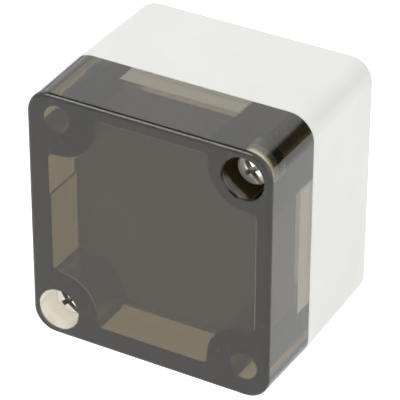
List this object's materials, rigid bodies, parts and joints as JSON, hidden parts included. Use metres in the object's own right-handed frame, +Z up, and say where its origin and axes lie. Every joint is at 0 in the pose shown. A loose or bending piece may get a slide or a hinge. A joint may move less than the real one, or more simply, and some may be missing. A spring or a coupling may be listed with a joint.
{
  "type": "infra-red proximity sensor",
  "caption": "Small square wall-mount infra-red proximity sensor: light grey housing, smoked transparent cover held by screws in opposite corners, electronics inside.",
  "frame": {"origin": "centre of the flat wall face, midway between the two wall screw holes", "axes": "+Y into the wall, front face towards -Y, +Z up the wall, +X to the right seen from the front"},
  "size_m": [0.05, 0.04, 0.052],
  "materials": {
    "housing_plastic": "fine matt moulded polycarbonate",
    "smoked_plastic": "clear smoked polycarbonate",
    "filter_plastic": "matt dark infra-red passing sheet",
    "silicone": "matt",
    "black_rubber": "matt",
    "brass": "machined",
    "screw_steel": "bright stainless",
    "board": "solder mask over glass laminate",
    "black_plastic": "matt",
    "clear_lens": "clear acrylic",
    "emitter_epoxy": "clear tinted epoxy",
    "diode_epoxy": "infra-red passing dark epoxy",
    "relay_plastic": "moulded",
    "tinned_metal": "tin plated",
    "terminal_plastic": "moulded polyamide",
    "clamp_metal": "plated steel",
    "trimmer_plastic": "moulded",
    "white_plastic": "moulded",
    "switch_plastic": "moulded",
    "can_sleeve": "shrink sleeve",
    "chip_epoxy": "moulded epoxy",
    "ferrite": "matt",
    "lamp_epoxy": "clear",
    "chip_ceramic": "fired"
  },
  "bodies": {
    "housing": {"base_housing": "housing_plastic", "brass_inserts": "brass", "cable_grommet": "black_rubber", "cover_gasket": "silicone", "circuit_board": "board", "board_screws": "screw_steel", "optics_carrier": "black_plastic", "emitter_lens": "clear_lens", "receiver_lens": "clear_lens", "emitter_led": "emitter_epoxy", "receiver_diode": "diode_epoxy", "relay_case": "relay_plastic", "relay_pins": "tinned_metal", "terminal_housing": "terminal_plastic", "terminal_contacts": "tinned_metal", "sensitivity_trimmer": "trimmer_plastic", "delay_trimmer": "trimmer_plastic", "mode_switch": "switch_plastic", "test_button": "chip_epoxy", "smoothing_capacitor": "can_sleeve", "timing_capacitor": "can_sleeve", "controller_chip": "chip_epoxy", "voltage_regulator": "chip_epoxy", "choke_coil": "ferrite", "protection_diodes": "chip_epoxy", "indicator_lamps": "lamp_epoxy", "chip_resistors": "chip_epoxy", "chip_capacitors": "chip_ceramic"},
    "cover": {"smoked_cover": "smoked_plastic", "filter_panel": "filter_plastic"},
    "ring_1": {"seal_ring_1": "black_rubber"},
    "screw_1": {"cover_screw_1": "screw_steel"},
    "ring_2": {"seal_ring_2": "black_rubber"},
    "screw_2": {"cover_screw_2": "screw_steel"},
    "clamp_screw_1": {"terminal_screw_1": "screw_steel"},
    "clamp_1": {"terminal_clamp_1": "clamp_metal"},
    "clamp_screw_2": {"terminal_screw_2": "screw_steel"},
    "clamp_2": {"terminal_clamp_2": "clamp_metal"},
    "clamp_screw_3": {"terminal_screw_3": "screw_steel"},
    "clamp_3": {"terminal_clamp_3": "clamp_metal"},
    "clamp_screw_4": {"terminal_screw_4": "screw_steel"},
    "clamp_4": {"terminal_clamp_4": "clamp_metal"},
    "sensitivity_adjuster": {"sensitivity_rotor": "white_plastic"},
    "delay_adjuster": {"delay_rotor": "white_plastic"},
    "switch_slider_1": {"mode_slider_1": "white_plastic"},
    "switch_slider_2": {"mode_slider_2": "white_plastic"},
    "button_plunger": {"test_plunger": "white_plastic"}
  },
  "joints": [
    {"name": "cover_lift", "type": "slide", "parent": "housing", "child": "cover", "axis": [0, -1, 0], "range_m": [0, 0.09]},
    {"name": "screw_1_rise", "type": "slide", "parent": "cover", "child": "ring_1", "axis": [0, -1, 0], "range_m": [0, 0.0055]},
    {"name": "screw_1_turn", "type": "hinge", "parent": "ring_1", "child": "screw_1", "pos_m": [0.0191, -0.036, 0.0201], "axis": [0, 1, 0], "range_deg": [-3960, 0]},
    {"name": "screw_2_rise", "type": "slide", "parent": "cover", "child": "ring_2", "axis": [0, -1, 0], "range_m": [0, 0.0055]},
    {"name": "screw_2_turn", "type": "hinge", "parent": "ring_2", "child": "screw_2", "pos_m": [-0.0191, -0.036, -0.0201], "axis": [0, 1, 0], "range_deg": [-3960, 0]},
    {"name": "clamp_screw_1_turn", "type": "hinge", "parent": "housing", "child": "clamp_screw_1", "pos_m": [-0.00525, -0.016, -0.014], "axis": [0, 1, 0], "range_deg": [0, 1800]},
    {"name": "clamp_1_rise", "type": "slide", "parent": "housing", "child": "clamp_1", "axis": [0, -1, 0], "range_m": [0, 0.002]},
    {"name": "clamp_screw_2_turn", "type": "hinge", "parent": "housing", "child": "clamp_screw_2", "pos_m": [-0.00175, -0.016, -0.014], "axis": [0, 1, 0], "range_deg": [0, 1800]},
    {"name": "clamp_2_rise", "type": "slide", "parent": "housing", "child": "clamp_2", "axis": [0, -1, 0], "range_m": [0, 0.002]},
    {"name": "clamp_screw_3_turn", "type": "hinge", "parent": "housing", "child": "clamp_screw_3", "pos_m": [0.00175, -0.016, -0.014], "axis": [0, 1, 0], "range_deg": [0, 1800]},
    {"name": "clamp_3_rise", "type": "slide", "parent": "housing", "child": "clamp_3", "axis": [0, -1, 0], "range_m": [0, 0.002]},
    {"name": "clamp_screw_4_turn", "type": "hinge", "parent": "housing", "child": "clamp_screw_4", "pos_m": [0.00525, -0.016, -0.014], "axis": [0, 1, 0], "range_deg": [0, 1800]},
    {"name": "clamp_4_rise", "type": "slide", "parent": "housing", "child": "clamp_4", "axis": [0, -1, 0], "range_m": [0, 0.002]},
    {"name": "sensitivity_turn", "type": "hinge", "parent": "housing", "child": "sensitivity_adjuster", "pos_m": [-0.0072, -0.012, 0.0182], "axis": [0, 1, 0], "range_deg": [-135, 135]},
    {"name": "delay_turn", "type": "hinge", "parent": "housing", "child": "delay_adjuster", "pos_m": [0.0072, -0.012, 0.0182], "axis": [0, 1, 0], "range_deg": [-135, 135]},
    {"name": "mode_slide_1", "type": "slide", "parent": "housing", "child": "switch_slider_1", "axis": [0, 0, 1], "range_m": [0, 0.0012]},
    {"name": "mode_slide_2", "type": "slide", "parent": "housing", "child": "switch_slider_2", "axis": [0, 0, 1], "range_m": [0, 0.0012]},
    {"name": "test_press", "type": "slide", "parent": "housing", "child": "button_plunger", "axis": [0, 1, 0], "range_m": [0, 0.0003], "stiffness_N_per_m": 4000}
  ],
  "couplings": [
    {"joint": "screw_1_turn", "follows": "screw_1_rise", "rad_per_m": -12566},
    {"joint": "screw_2_turn", "follows": "screw_2_rise", "rad_per_m": -12566},
    {"joint": "clamp_screw_1_turn", "follows": "clamp_1_rise", "rad_per_m": 15708},
    {"joint": "clamp_screw_2_turn", "follows": "clamp_2_rise", "rad_per_m": 15708},
    {"joint": "clamp_screw_3_turn", "follows": "clamp_3_rise", "rad_per_m": 15708},
    {"joint": "clamp_screw_4_turn", "follows": "clamp_4_rise", "rad_per_m": 15708}
  ]
}
